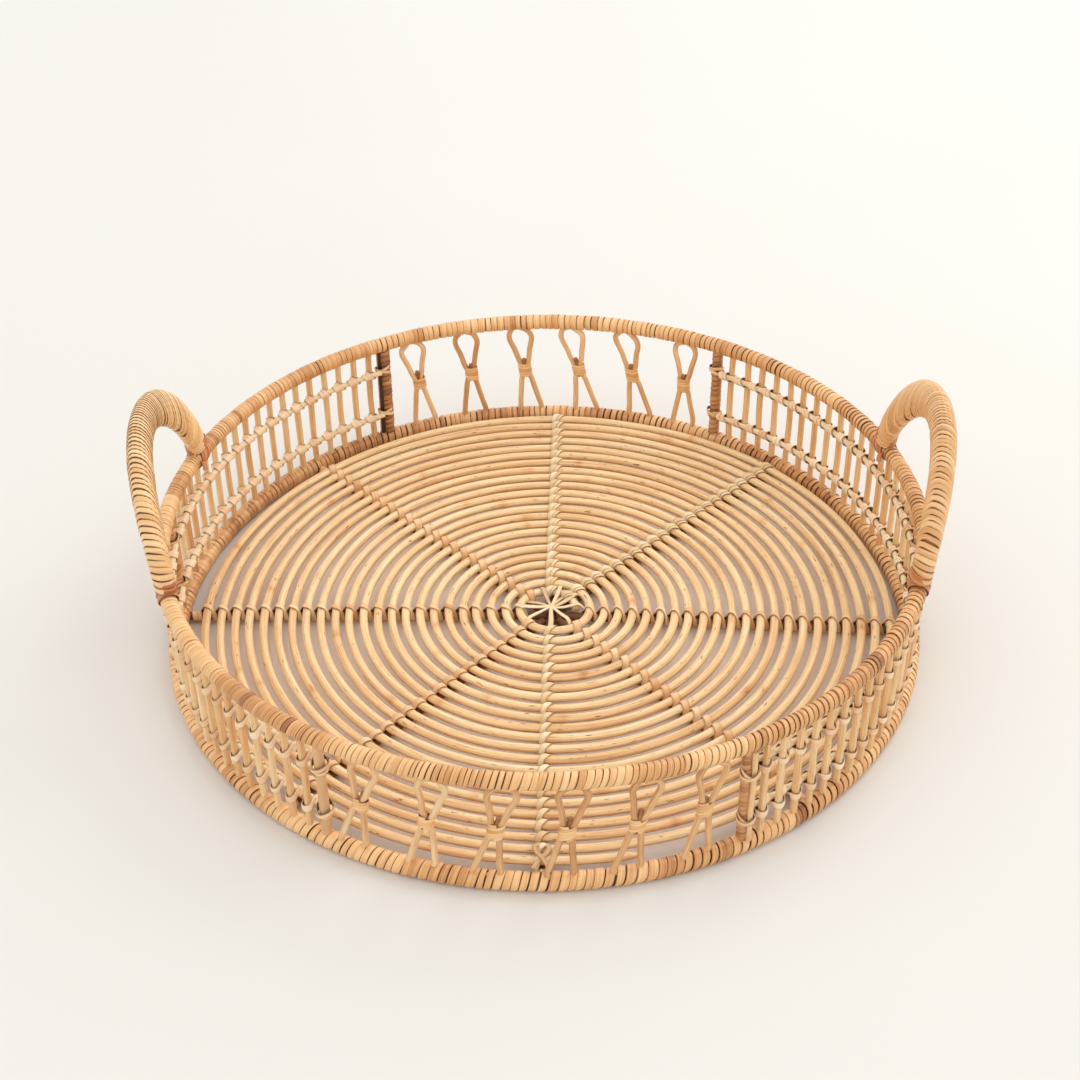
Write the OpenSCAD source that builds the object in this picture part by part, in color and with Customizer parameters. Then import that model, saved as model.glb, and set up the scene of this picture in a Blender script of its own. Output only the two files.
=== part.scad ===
// Round rattan serving tray with two wrapped arch handles.
// +Z is up, +X points to the right-hand handle, and the origin is on the table
// under the middle of the tray. Millimetres and degrees.

/* [Tray] */
// Outer diameter over the lower hoop
tray_d = 400; // [330:5:500]
// Height from the table to the top of the rim
rim_h = 73; // [60:1:110]
// How much larger the rim hoop's radius is than the lower hoop's
rim_flare = 1; // [0:0.5:10]

/* [Hoops] */
// Cane inside the lower hoop
foot_core_d = 7; // [5:0.2:10]
// Cane inside the rim hoop
rim_core_d = 6.2; // [4.6:0.2:9]
// Thickness of the peel wound round both hoops
hoop_wrap_t = 1.1; // [0.6:0.1:2]
// Width of the flat underneath, where the lower hoop rests
foot_flat_w = 3; // [1:0.2:5]

/* [Base] */
// Cane of the spiral base
coil_cane_d = 4.6; // [3.6:0.1:5.4]
// Spacing of the spiral's turns
coil_pitch = 7.6; // [6.9:0.1:10]
// Least radius at which the spiral may begin
coil_start_min = 9; // [8:0.5:20]
// Direction in which the spiral's outer end stops
coil_end_angle = 280; // [190:5:350]
// Length of the thinned tail at the spiral's outer end
coil_tail_l = 9; // [4:1:20]
// Gap between the outermost turn and the lower hoop
coil_edge_gap = 1.2; // [0.6:0.1:4]
// How far the hand-laid hub sits towards the right-hand handle
hub_shift = 4; // [0:0.5:6]
// Rods under the spiral
spoke_d = 4.4; // [3.4:0.1:6]
// How far each hand-laid spoke strays from its even direction: e, ne, n, nw, w, sw, s, se
spoke_stray = [-5, 0, -2, -1, -1, 3, -2, -5]; // [-6:1:6]
// Height of the lashed rods above the table
floor_gap = 0.4; // [0.2:0.1:2]
// Clearance in the half-lap where the two long rods cross
lap_gap = 0.2; // [0.1:0.1:0.5]

/* [Peel lashings] */
// Thickness of the peel that ties the pieces together
peel_t = 0.7; // [0.4:0.1:1]
// Width of the peel over each turn of the base
peel_w = 3.6; // [2:0.2:6]
// Clearance of a lashing round a curved cane
peel_gap = 0.06; // [0.02:0.01:0.15]
// Width of each arm of the star that ties the hub
hub_strip_w = 4; // [2.4:0.2:6]

/* [Wall] */
// Turn of the wall's posts round the tray, away from the line of the handles
wall_turn = -2; // [-8:0.5:8]
// Upright stakes of the lattice panels
stake_d = 3.7; // [3:0.1:6]
// Spacing of the stakes along the hoop
stake_pitch = 10.4; // [9:0.2:20]
// Round rods that run along the inside of the stakes
lattice_rod_d = 3; // [2:0.1:4]
// Height of the lower rod above the top of the lower hoop
lattice_low_up = 14; // [6:0.5:18]
// Depth of the upper rod below the underside of the rim
lattice_high_down = 12.5; // [6:0.5:20]
// Height of the strap that ties a rod to a stake
lash_h = 2.4; // [1.4:0.2:3]
// Width of the turn that the strap takes round the rod
lash_ring_w = 1.6; // [1:0.1:2.4]
// Cane inside each wrapped post
post_core_d = 5; // [4:0.2:8]
// Thickness of the peel wound round each post
post_wrap_t = 1.1; // [0.6:0.1:2]
// Gap between the end of a lattice rod and a post
rod_end_gap = 0.6; // [0.3:0.1:3]

/* [Fret loops] */
// Cane of the hourglass loops
fret_cane_d = 3.2; // [2.2:0.1:3.6]
// Outer width of a loop
fret_loop_w = 16.4; // [12:0.2:17]
// Length of the tie at a loop's waist
fret_tie_h = 6; // [4:0.5:8]
// Gap between a post and the first loop, as a share of the loop spacing
fret_end_share = 0.65; // [0.5:0.05:1]

/* [Handles] */
// Distance between a handle's feet along the rim
handle_span = 122; // [90:1:150]
// Rise of the handle's centreline above the rim
handle_rise = 55; // [40:1:80]
// How far the crown leans outwards from the rim
handle_lean = 4; // [0:0.5:14]
// Depth of the bundle at the crown and at the feet
handle_crown_t = 18; // [12:0.5:22]
handle_foot_t = 11.5; // [8:0.5:16]
// Width of the bundle at the crown and at the feet
handle_crown_w = 10.5; // [8:0.5:16]
handle_foot_w = 8; // [6:0.5:12]
// Thickness of the peel wound round the bundle
handle_wrap_t = 1.2; // [0.6:0.1:2]
// Thickness of the lashing between a handle's foot and the rim
foot_tie_t = 1; // [0.6:0.1:2]

/* [Hidden] */
$fn = 48;
eps = 0.01;

// Hoops
foot_wrap_r = foot_core_d / 2 + hoop_wrap_t;
rim_wrap_r = rim_core_d / 2 + hoop_wrap_t;
foot_r = tray_d / 2 - foot_wrap_r;
rim_r = foot_r + rim_flare;
foot_z = sqrt(pow(foot_wrap_r, 2) - pow(foot_flat_w / 2, 2));
rim_z = rim_h - rim_wrap_r;

// Wall: a slanted line from the lower hoop's centre to the rim's centre
wall_lean = atan((rim_r - foot_r) / (rim_z - foot_z));
wall_len = norm([rim_r - foot_r, rim_z - foot_z]);
wall_low = foot_wrap_r;
wall_high = wall_len - rim_wrap_r;
panel_angle = 60;
post_wrap_r = post_core_d / 2 + post_wrap_t;
stake_gaps = round(foot_r * panel_angle * PI / 180 / stake_pitch);
stake_step = panel_angle / stake_gaps;
rod_heights = [wall_low + lattice_low_up, wall_high - lattice_high_down];
rod_end_angle = (post_wrap_r + rod_end_gap) / foot_r * 180 / PI;
rod_inset = (stake_d + lattice_rod_d) / 2;

// Base
spoke_r = spoke_d / 2;
coil_r = coil_cane_d / 2;
spoke_z = floor_gap + peel_t + spoke_r;
coil_z = spoke_z + spoke_r + coil_r;
arc_shift = coil_pitch / 4;
coil_limit = foot_r - foot_wrap_r - coil_edge_gap - coil_r;
coil_overhang = max((hub_shift + arc_shift) * max(0, cos(coil_end_angle)),
                    hub_shift + arc_shift - coil_pitch,
                    hub_shift - 3 * arc_shift);
coil_last_r = coil_limit - coil_overhang;
// The middle of the hub's star covers the inner end of every diagonal rod
DIAGONALS = [1, 3, 5, 7];
hub_disc_r = max([for (i = DIAGONALS) diagonal_start(i)]) + 1;
coil_start_r = max(coil_start_min, hub_disc_r + peel_gap + arc_shift + coil_r + 0.5);
coil_turns = floor((coil_last_r - coil_pitch / 2 - coil_start_r) / coil_pitch);
coil_first_r = coil_last_r - coil_pitch / 2 - coil_turns * coil_pitch;
ring_w = coil_pitch - coil_cane_d - peel_t;
// Directions near the spiral's inner end that leave its first turn untied
coil_start_clear = asin(peel_w / coil_first_r);

// Fret loops, in the wall's own slanted plane
fret_count = 6;
fret_step = panel_angle / (fret_count - 1 + 2 * fret_end_share);
fret_r = fret_cane_d / 2;
fret_bulb_r = fret_loop_w / 2 - fret_r;
fret_bend_r = fret_r + eps * 5;
fret_bite = fret_r / 2;
fret_mid = (wall_low + wall_high) / 2;
fret_waist = fret_tie_h / 2 + fret_r / 4;
fret_half_gap = fret_r + lap_gap / 2;
fret_bulb_z = wall_high + fret_bite - fret_r - fret_bulb_r - fret_mid;

// Handles
handle_base_z = rim_h + foot_tie_t;
handle_angle = asin(handle_span / 2 / rim_r);
handle_steps = 24;
handle_sides = 16;
handle_point = 1.35;
foot_tie_angle = (handle_foot_t / 2 + handle_wrap_t) / rim_r * 180 / PI;

WINDS = ["e", "ne", "n", "nw", "w", "sw", "s", "se"];
POSTS = ["right", "back_right", "back_left", "left", "front_left", "front_right"];
PANELS = ["back_right", "back_left", "front_left", "front_right"];
PANEL_START = [for (corner = [0, 2, 3, 5]) wall_turn + panel_angle * corner];

// Shared shapes

module hoop_solid(radius, height, thick_r) {
    translate([0, 0, height])
        rotate_extrude()
            translate([radius, 0])
                circle(r = thick_r);
}

// Cuts the children to sit against both wrapped hoops
module seat_on_hoops() {
    difference() {
        union() children();
        hoop_solid(foot_r, foot_z, foot_wrap_r);
        hoop_solid(rim_r, rim_z, rim_wrap_r);
    }
}

// Puts the children in the wall's plane: x outwards, y along the hoop, z up the wall
module on_wall(angle) {
    rotate([0, 0, angle])
        translate([foot_r, 0, foot_z])
            rotate([0, wall_lean, 0])
                children();
}

// Puts the children at the hub: x out along the spoke
module on_spoke(angle) {
    translate([hub_shift, 0, 0])
        rotate([0, 0, angle])
            children();
}

// Hoops

module wrap_ring(radius, height, core_r, wrap_r) {
    rotate_extrude()
        translate([radius, height])
            difference() {
                intersection() {
                    circle(r = wrap_r);
                    translate([-wrap_r, -height])
                        square([2 * wrap_r, height + wrap_r]);
                }
                circle(r = core_r);
            }
}

module lower_hoop() {
    color("tan") hoop_solid(foot_r, foot_z, foot_core_d / 2);
}

module rim_hoop() {
    color("tan") hoop_solid(rim_r, rim_z, rim_core_d / 2);
}

module lower_hoop_wrap() {
    color("sandybrown") wrap_ring(foot_r, foot_z, foot_core_d / 2, foot_wrap_r);
}

module rim_hoop_wrap() {
    color("burlywood") wrap_ring(rim_r, rim_z, rim_core_d / 2, rim_wrap_r);
}

// Base

// Half a turn of the spiral; every other half turn is half a pitch larger
module coil_arc(radius, shift, start, sweep) {
    translate([hub_shift + shift, 0, coil_z])
        rotate([0, 0, start])
            rotate_extrude(angle = sweep)
                translate([radius, 0])
                    circle(r = coil_r);
}

module base_coil() {
    color("burlywood") {
        for (turn = [0:coil_turns]) {
            radius = coil_first_r + turn * coil_pitch;
            last = turn == coil_turns;
            coil_arc(radius, -arc_shift, 0, 180);
            coil_arc(radius + coil_pitch / 2, arc_shift, 180, last ? coil_end_angle - 180 : 180);
        }
        translate([hub_shift + arc_shift, 0, coil_z])
            rotate([0, 0, coil_end_angle])
                translate([coil_last_r, -coil_r / 4, 0])
                    rotate([-90, 0, 0])
                        cylinder(h = coil_tail_l + coil_r / 4, r1 = coil_r - eps * 5, r2 = coil_r / 2);
    }
}

function spoke_angle(i) = (360 + 45 * i + spoke_stray[i]) % 360;

// Distance from the hub to the lower hoop's centre along a spoke
function spoke_reach(angle) =
    sqrt(pow(foot_r, 2) - pow(hub_shift * sin(angle), 2)) - hub_shift * cos(angle);

// Distance from the hub to each turn that a spoke carries
function crossings(angle) =
    let (first_turn = angle < coil_start_clear ? 1 : 0,
         last_turn = angle < coil_end_angle - 3 ? coil_turns : coil_turns - 1,
         lower = angle > 180,
         shift = lower ? arc_shift : -arc_shift)
    [for (turn = [first_turn:last_turn])
        let (radius = coil_first_r + turn * coil_pitch + (lower ? coil_pitch / 2 : 0))
        shift * cos(angle) + sqrt(pow(radius, 2) - pow(shift * sin(angle), 2))];

module spoke_rod(angle, from) {
    on_spoke(angle)
        translate([from, 0, spoke_z])
            rotate([0, 90, 0])
                cylinder(h = spoke_reach(angle) - from, r = spoke_r);
}

// Two opposite spokes made as one rod, with half its depth cut away at the crossing
module long_rod(i, cut_z) {
    lap = spoke_d * 1.1 + 2 * lap_gap;
    color("peru") difference() {
        union() {
            spoke_rod(spoke_angle(i), -spoke_r);
            spoke_rod(spoke_angle(i + 4), -spoke_r);
        }
        translate([hub_shift, 0, cut_z])
            cube([lap, lap, spoke_d], center = true);
        hoop_solid(foot_r, foot_z, foot_wrap_r);
    }
}

module spoke_rod_e_w() {
    long_rod(0, spoke_z + spoke_r);
}

module spoke_rod_n_s() {
    long_rod(2, spoke_z - spoke_r);
}

// Smaller of the angles between a diagonal rod and the long rods beside it
function spoke_room(i) =
    min(45 + spoke_stray[i] - spoke_stray[i - 1], 45 + spoke_stray[(i + 1) % 8] - spoke_stray[i]);

// A diagonal rod starts where its end clears the two long ones
function diagonal_start(i) = spoke_r * (1 + cos(spoke_room(i))) / sin(spoke_room(i)) + lap_gap;

module diagonal_rod(i) {
    color("peru") difference() {
        spoke_rod(spoke_angle(i), diagonal_start(i));
        hoop_solid(foot_r, foot_z, foot_wrap_r);
    }
}

// Side outline of the peel over one turn: an arch with two short legs
module binding_arch() {
    difference() {
        union() {
            circle(r = coil_r + peel_t);
            translate([-coil_r - peel_t, -coil_r])
                square([coil_cane_d + 2 * peel_t, coil_r]);
        }
        circle(r = coil_r + peel_gap);
        translate([-coil_r - peel_gap, -coil_r - peel_t])
            square([coil_cane_d + 2 * peel_gap, coil_r + peel_t]);
        translate([-coil_pitch, -2 * coil_r])
            square([2 * coil_pitch, coil_r]);
    }
}

module spoke_binding(angle) {
    turns = crossings(angle);
    color("navajowhite") on_spoke(angle) {
        rotate([90, 0, 0])
            linear_extrude(peel_w, center = true)
                for (radius = turns)
                    translate([radius, coil_z])
                        binding_arch();
        // The same peel goes once round the rod between two turns
        for (i = [1:len(turns) - 1])
            translate([(turns[i - 1] + turns[i]) / 2, 0, spoke_z])
                rotate([0, 90, 0])
                    difference() {
                        cylinder(h = ring_w, r = spoke_r + peel_t, center = true);
                        cylinder(h = ring_w + 1, r = spoke_r, center = true);
                    }
    }
}

module hub_lashing() {
    reach = coil_first_r - coil_r - arc_shift - peel_gap;
    color("beige") translate([hub_shift, 0, spoke_z + spoke_r]) {
        for (i = [0:3])
            rotate([0, 0, 22.5 + 45 * i])
                translate([-reach, -hub_strip_w / 2, 0])
                    cube([2 * reach, hub_strip_w, peel_t]);
        cylinder(h = 2 * peel_t, r = hub_disc_r);
    }
}

// Wall

module stakes(start) {
    color("burlywood") seat_on_hoops()
        for (i = [1:stake_gaps - 1])
            on_wall(start + i * stake_step)
                cylinder(h = wall_len, d = stake_d);
}

module lattice_rods(start) {
    color("cornsilk") for (up = rod_heights)
        rotate([0, 0, start + rod_end_angle])
            rotate_extrude(angle = panel_angle - 2 * rod_end_angle)
                translate([foot_r + up * sin(wall_lean) - rod_inset * cos(wall_lean),
                           foot_z + up * cos(wall_lean) + rod_inset * sin(wall_lean)])
                    circle(d = lattice_rod_d);
}

// One strap: a hairpin round the outside of the stake and a turn round the rod on each side
module lattice_strap() {
    stake_r = stake_d / 2;
    rod_r = lattice_rod_d / 2;
    linear_extrude(lash_h, center = true)
        difference() {
            union() {
                circle(r = stake_r + peel_t);
                translate([-stake_r, -stake_r - peel_t])
                    square([stake_r, stake_d + 2 * peel_t]);
            }
            circle(r = stake_r);
            translate([-2 * stake_d, -stake_r])
                square([2 * stake_d, stake_d]);
            translate([-3 * stake_d, -stake_d])
                square([3 * stake_d - stake_r, 2 * stake_d]);
        }
    for (side = [-1, 1])
        translate([-rod_inset, side * (stake_r + lash_ring_w / 2), 0])
            rotate([90, 0, 0])
                difference() {
                    cylinder(h = lash_ring_w, r = rod_r + peel_gap + peel_t, center = true);
                    cylinder(h = lash_ring_w + 1, r = rod_r + peel_gap, center = true);
                }
}

module lattice_lashing(start) {
    color("wheat") for (i = [1:stake_gaps - 1])
        for (up = rod_heights)
            on_wall(start + i * stake_step)
                translate([0, 0, up])
                    lattice_strap();
}

module post(angle) {
    color("sienna") seat_on_hoops()
        on_wall(angle)
            cylinder(h = wall_len, d = post_core_d);
}

module post_wraps(angles) {
    color("chocolate") seat_on_hoops()
        for (angle = angles)
            on_wall(angle)
                difference() {
                    cylinder(h = wall_len, r = post_wrap_r);
                    translate([0, 0, -1])
                        cylinder(h = wall_len + 2, d = post_core_d);
                }
}

// Fret loops

function fret_angle(side, i) = side + (i - (fret_count + 1) / 2) * fret_step;

// Right-hand half of a loop's upper bulb, with its straight run up from the waist.
// The run is tangent to the bulb, whose centre is fret_bulb_z above the waist's middle.
function run_height() = fret_bulb_z - fret_waist;
function run_distance() = norm([fret_half_gap, run_height()]);
function run_angle() =
    atan2(run_height(), -fret_half_gap) - asin(fret_bulb_r / run_distance());
function run_length() = sqrt(pow(run_distance(), 2) - pow(fret_bulb_r, 2));

module fret_upper_half() {
    from = run_angle() - 90;
    rotate([90, 0, 90]) {
        translate([0, fret_bulb_z, 0])
            rotate([0, 0, from])
                rotate_extrude(angle = 180 - 2 * from)
                    translate([fret_bulb_r, 0])
                        circle(r = fret_r);
        for (side = [0, 1])
            mirror([side, 0, 0])
                translate([fret_half_gap, fret_waist, 0])
                    rotate([0, 0, run_angle()]) {
                        rotate([0, 90, 0])
                            cylinder(h = run_length(), r = fret_r);
                        for (bend = [0, run_length()])
                            translate([bend, 0, 0])
                                sphere(r = fret_bend_r);
                    }
    }
}

module fret(side, i) {
    color("burlywood") seat_on_hoops()
        on_wall(fret_angle(side, i))
            translate([0, 0, fret_mid]) {
                fret_upper_half();
                mirror([0, 0, 1]) fret_upper_half();
                for (y = [-fret_half_gap, fret_half_gap])
                    translate([0, y, 0])
                        cylinder(h = 2 * fret_waist, r = fret_r, center = true);
            }
}

// Outline round both canes at the waist
module waist_outline(r) {
    for (y = [-fret_half_gap, fret_half_gap])
        translate([0, y])
            circle(r = r);
    square([2 * r, 2 * fret_half_gap], center = true);
}

module fret_ties(side) {
    color("tan") for (i = [1:fret_count])
        on_wall(fret_angle(side, i))
            translate([0, 0, fret_mid])
                linear_extrude(fret_tie_h, center = true)
                    difference() {
                        waist_outline(fret_r + peel_t);
                        waist_outline(fret_r);
                    }
}

// Handles: a bundle swept along a pointed arch that follows the rim's curve

function arch_rise(t) = pow(max(0, sin(t)), handle_point);
function arch_at(t) =
    let (angle = handle_angle * cos(t), r = rim_r + handle_lean * arch_rise(t))
    [r * cos(angle), r * sin(angle), handle_base_z + handle_rise * arch_rise(t)];
function unit(v) = v / norm(v);
function arch_along(t) = unit(arch_at(min(180, t + 1)) - arch_at(max(0, t - 1)));
function blend(a, b, share) = a + (b - a) * share;
function arch_depth(t) = blend(handle_foot_t, handle_crown_t, arch_rise(t)) / 2;
function arch_width(t) = blend(handle_foot_w, handle_crown_w, arch_rise(t)) / 2;

// One ring of the sweep, proud of the bundle by grow
function arch_ring(t, grow) =
    let (ends = t == 0 || t == 180,
         along = ends ? [0, 0, cos(t)] : arch_along(t),
         out = unit(cross(along, [1, 0, 0])),
         across = cross(out, along))
    [for (j = [0:handle_sides - 1])
        let (a = 360 * j / handle_sides)
        arch_at(t) + out * (arch_depth(t) + grow) * cos(a)
                   + across * (arch_width(t) + grow) * sin(a)];

function arch_points(grow) =
    [for (i = [0:handle_steps]) each arch_ring(180 * i / handle_steps, grow)];

// Side faces between the rings of one skin, whose points start at base
function skin_faces(base, flip) =
    [for (i = [0:handle_steps - 1])
        for (j = [0:handle_sides - 1])
            let (k = (j + 1) % handle_sides,
                 a = base + i * handle_sides + j,
                 b = base + i * handle_sides + k,
                 c = b + handle_sides,
                 d = a + handle_sides)
            each (flip ? [[a, b, c], [a, c, d]] : [[a, c, b], [a, d, c]])];

module handle_core() {
    last = handle_steps * handle_sides;
    color("tan") polyhedron(
        points = arch_points(0),
        faces = concat(
            skin_faces(0, false),
            [[for (j = [0:handle_sides - 1]) j]],
            [[for (j = [handle_sides - 1:-1:0]) last + j]]));
}

module handle_wrap() {
    count = (handle_steps + 1) * handle_sides;
    last = handle_steps * handle_sides;
    color("sandybrown") polyhedron(
        points = concat(arch_points(handle_wrap_t), arch_points(peel_gap)),
        faces = concat(
            skin_faces(0, false),
            skin_faces(count, true),
            [for (j = [0:handle_sides - 1])
                let (k = (j + 1) % handle_sides)
                each [[j, k, count + k], [j, count + k, count + j]]],
            [for (j = [0:handle_sides - 1])
                let (k = (j + 1) % handle_sides, a = last + j, b = last + k)
                each [[a, b + count, b], [a, a + count, b + count]]]));
}

// Lashing laid over the rim under each foot of a handle
module handle_foot_ties() {
    color("indianred") for (side = [-1, 1])
        rotate([0, 0, side * handle_angle - foot_tie_angle])
            rotate_extrude(angle = 2 * foot_tie_angle)
                translate([rim_r, rim_z])
                    difference() {
                        circle(r = rim_wrap_r + foot_tie_t);
                        circle(r = rim_wrap_r);
                        translate([-3 * rim_wrap_r, -3 * rim_wrap_r])
                            square([6 * rim_wrap_r, 3 * rim_wrap_r]);
                    }
}

lower_hoop();
rim_hoop();
lower_hoop_wrap();
rim_hoop_wrap();
base_coil();
spoke_rod_e_w();
spoke_rod_n_s();
for (i = DIAGONALS)
    diagonal_rod(i);
for (i = [0:7])
    spoke_binding(spoke_angle(i));
hub_lashing();
for (i = [0:5])
    post(wall_turn + panel_angle * i);
post_wraps([wall_turn, wall_turn + 180]);  // post_wraps_side
post_wraps([for (i = [1, 2, 4, 5]) wall_turn + panel_angle * i]);  // post_wraps_corner
for (i = [1:fret_count])
    fret(wall_turn + 90, i);
for (i = [1:fret_count])
    fret(wall_turn + 270, i);
fret_ties(wall_turn + 90);  // fret_ties_back
fret_ties(wall_turn + 270);  // fret_ties_front
for (i = [0:3])
    stakes(PANEL_START[i]);
for (i = [0:3])
    lattice_rods(PANEL_START[i]);
for (i = [0:3])
    lattice_lashing(PANEL_START[i]);
handle_core();  // handle_core_right
rotate([0, 0, 180]) handle_core();  // handle_core_left
handle_wrap();  // handle_wrap_right
rotate([0, 0, 180]) handle_wrap();  // handle_wrap_left
handle_foot_ties();  // handle_foot_ties_right
rotate([0, 0, 180]) handle_foot_ties();  // handle_foot_ties_left
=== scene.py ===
import math

import bpy
import numpy as np
from mathutils import Matrix, Vector


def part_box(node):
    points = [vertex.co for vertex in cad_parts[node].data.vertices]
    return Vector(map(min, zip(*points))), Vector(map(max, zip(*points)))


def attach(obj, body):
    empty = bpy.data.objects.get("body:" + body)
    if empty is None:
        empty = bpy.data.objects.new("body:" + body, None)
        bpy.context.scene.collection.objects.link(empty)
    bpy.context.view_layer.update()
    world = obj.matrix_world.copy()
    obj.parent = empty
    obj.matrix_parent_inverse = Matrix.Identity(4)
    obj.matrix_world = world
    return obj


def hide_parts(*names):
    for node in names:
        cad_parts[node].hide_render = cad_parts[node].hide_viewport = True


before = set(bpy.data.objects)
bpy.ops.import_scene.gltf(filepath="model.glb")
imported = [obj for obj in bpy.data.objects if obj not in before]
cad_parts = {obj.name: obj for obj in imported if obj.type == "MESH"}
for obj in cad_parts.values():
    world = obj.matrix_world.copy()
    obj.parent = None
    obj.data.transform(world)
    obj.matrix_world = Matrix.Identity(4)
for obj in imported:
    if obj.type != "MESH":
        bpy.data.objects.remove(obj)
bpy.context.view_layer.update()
mm = 0.001
print("frame loaded,", len(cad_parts), "nodes")


def ringOf(node):
    # centreline radius and height of a round hoop
    low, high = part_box(node)
    section = (high.z - low.z) / 2
    return (high.x - low.x) / 2 - section, (high.z + low.z) / 2


footR, footZ = ringOf("lower_hoop")
rimR, rimZ = ringOf("rim_hoop")
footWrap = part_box("lower_hoop_wrap")[1].z - footZ
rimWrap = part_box("rim_hoop_wrap")[1].z - rimZ
hubLow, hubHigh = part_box("hub_lashing")
hubX = (hubLow.x + hubHigh.x) / 2
coilLow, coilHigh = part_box("base_coil")
coilR = (coilHigh.z - coilLow.z) / 2
coilZ = coilLow.z + coilR
postLow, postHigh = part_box("post_right")
wallTurn = math.atan2(postLow.y + postHigh.y, postLow.x + postHigh.x)
rodR = (coilLow.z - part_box("spoke_rod_ne")[0].z) / 2
rodZ = coilLow.z - rodR
wallRise = rimZ - footZ
wallLean = math.atan2(rimR - footR, wallRise)
wallLength = math.hypot(rimR - footR, wallRise)
winds = ["e", "ne", "n", "nw", "w", "sw", "s", "se"]
spokeStray = [-5, 0, -2, -1, -1, 3, -2, -5]
panels = {"back_right": 0, "back_left": 120, "front_left": 180, "front_right": 300}


def unit(v):
    return v / np.linalg.norm(v, axis=-1, keepdims=True)


def wander(rng, x, waves, longest, shortest):
    # a smooth random line between about -1 and 1
    line = np.zeros(np.shape(x))
    for length in np.geomspace(longest, shortest, waves):
        line += np.sin(2 * math.pi * (x / length + rng.random())) * (length / longest) ** 0.4
    return line / waves ** 0.5


def curveThrough(points, perSpan, closed=False):
    # Catmull-Rom through rows of numbers
    p = np.asarray(points, float)
    if closed:
        p = np.vstack([p[-1:], p, p[:2]])
    else:
        p = np.vstack([2 * p[0] - p[1], p, 2 * p[-1] - p[-2]])
    t = (np.arange(perSpan) / perSpan)[:, None]
    rows = []
    for a, b, c, d in zip(p[:-3], p[1:-2], p[2:-1], p[3:]):
        rows.append(b + t * (c - a) / 2 + t ** 2 * (a - 2.5 * b + 2 * c - d / 2)
                    + t ** 3 * (1.5 * (b - c) + (d - a) / 2))
    if not closed:
        rows.append(p[-2:-1])
    return np.vstack(rows)


def roundSection(sides):
    turn = 2 * math.pi * np.arange(sides) / sides
    return np.stack([np.cos(turn), np.sin(turn)], 1)


# a strip of peel: glossy crowned skin above, flat pith below
peelSection = np.array([(1, 0.05), (0.93, 0.6), (0.6, 0.9), (0, 1), (-0.6, 0.9), (-0.93, 0.6), (-1, 0.05),
                        (-0.75, -0.7), (0.75, -0.7)])
caneSection = roundSection(12)
thinCaneSection = roundSection(10)


class Bundle:
    # gathers strands that are made alike into one mesh
    def __init__(self, name):
        self.name = name
        self.points, self.loops, self.sizes, self.grain, self.tone = [], [], [], [], []
        self.count = 0

    def strand(self, path, outward, section, across, thick, tone, closed=False, start=0.0, floor=None):
        path = np.asarray(path, float)
        count, sides = len(path), len(section)
        ahead = np.roll(path, -1, 0) - np.roll(path, 1, 0)
        if not closed:
            ahead[0] = path[1] - path[0]
            ahead[-1] = path[-1] - path[-2]
        ahead = unit(ahead)
        side = unit(np.cross(ahead, np.broadcast_to(outward, path.shape)))
        out = np.cross(side, ahead)
        across = np.broadcast_to(across, count)[:, None, None]
        thick = np.broadcast_to(thick, count)[:, None, None]
        rings = (path[:, None] + side[:, None] * section[None, :, :1] * across
                 + out[:, None] * section[None, :, 1:] * thick)
        if floor is not None:
            rings[..., 2] = np.maximum(rings[..., 2], floor)
        length = np.concatenate([[0], np.cumsum(np.linalg.norm(np.diff(path, axis=0), axis=1))]) + start
        grain = np.empty((count, sides, 3))
        grain[..., 0] = length[:, None]
        grain[..., 1:] = section[None]
        shade = np.broadcast_to(np.broadcast_to(tone, count)[:, None], (count, sides))
        here = np.arange(count if closed else count - 1)[:, None] * sides
        ahead1 = (here + sides) % (count * sides)
        j = np.arange(sides)[None]
        k = (j + 1) % sides
        quads = np.stack([here + j, ahead1 + j, ahead1 + k, here + k], -1).reshape(-1, 4) + self.count
        self.loops.append(quads.ravel())
        self.sizes.append(np.full(len(quads), 4))
        self.points.append(rings.reshape(-1, 3))
        self.grain.append(grain.reshape(-1, 3))
        self.tone.append(shade.ravel())
        if not closed:
            self.loops.append(np.arange(sides) + self.count)
            self.loops.append(np.arange(sides)[::-1] + self.count + (count - 1) * sides)
            self.sizes.append(np.array([sides, sides]))
        self.count += count * sides

    def build(self, material, node, slot, sharp=50):
        mesh = bpy.data.meshes.new(self.name)
        loops = np.concatenate(self.loops)
        sizes = np.concatenate(self.sizes)
        mesh.vertices.add(self.count)
        mesh.vertices.foreach_set("co", np.concatenate(self.points).ravel())
        mesh.loops.add(len(loops))
        mesh.loops.foreach_set("vertex_index", loops)
        mesh.polygons.add(len(sizes))
        mesh.polygons.foreach_set("loop_start", np.concatenate([[0], np.cumsum(sizes)[:-1]]))
        mesh.update(calc_edges=True)
        grain = mesh.attributes.new("grain", "FLOAT_VECTOR", "POINT")
        grain.data.foreach_set("vector", np.concatenate(self.grain).ravel())
        tone = mesh.attributes.new("tone", "FLOAT", "POINT")
        tone.data.foreach_set("value", np.concatenate(self.tone).ravel())
        mesh.shade_smooth()
        mesh.set_sharp_from_angle(angle=math.radians(sharp))
        mesh.materials.append(material)
        piece = bpy.data.objects.new(self.name, mesh)
        bpy.context.scene.collection.objects.link(piece)
        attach(piece, "root")
        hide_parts(*([node] if isinstance(node, str) else node))
        return piece


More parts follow.
